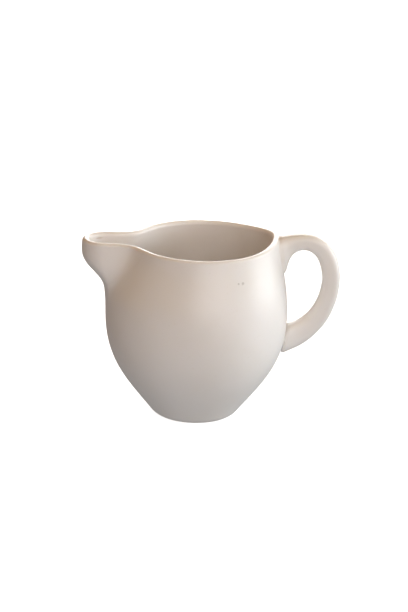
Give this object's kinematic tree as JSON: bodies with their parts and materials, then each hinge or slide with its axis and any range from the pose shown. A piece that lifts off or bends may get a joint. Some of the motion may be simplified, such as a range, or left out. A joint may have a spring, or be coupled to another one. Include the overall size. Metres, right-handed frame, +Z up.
{
  "type": "cream jug",
  "caption": "Small glazed porcelain cream jug with a rounded bowl, a pinched pouring spout, a loop handle and a narrow foot ring.",
  "frame": {"origin": "centre of the foot ring's resting plane, on the bowl's axis", "axes": "+Z up along the bowl's axis, +X towards the handle, -X towards the spout; the XZ plane is the plane of symmetry"},
  "size_m": [0.124, 0.0872, 0.0908],
  "materials": {
    "glaze": "satin-gloss warm white glaze over porcelain",
    "slip": "luting slip under the same warm white glaze",
    "biscuit": "bare matt porcelain, wiped clean of glaze where it touches the table"
  },
  "bodies": {
    "root": {"body": "glaze", "spout": "glaze", "spout_slip_seam": "slip", "foot_ring": "biscuit", "handle": "glaze", "upper_handle_slip_joint": "slip", "lower_handle_slip_joint": "slip"}
  },
  "joints": []
}
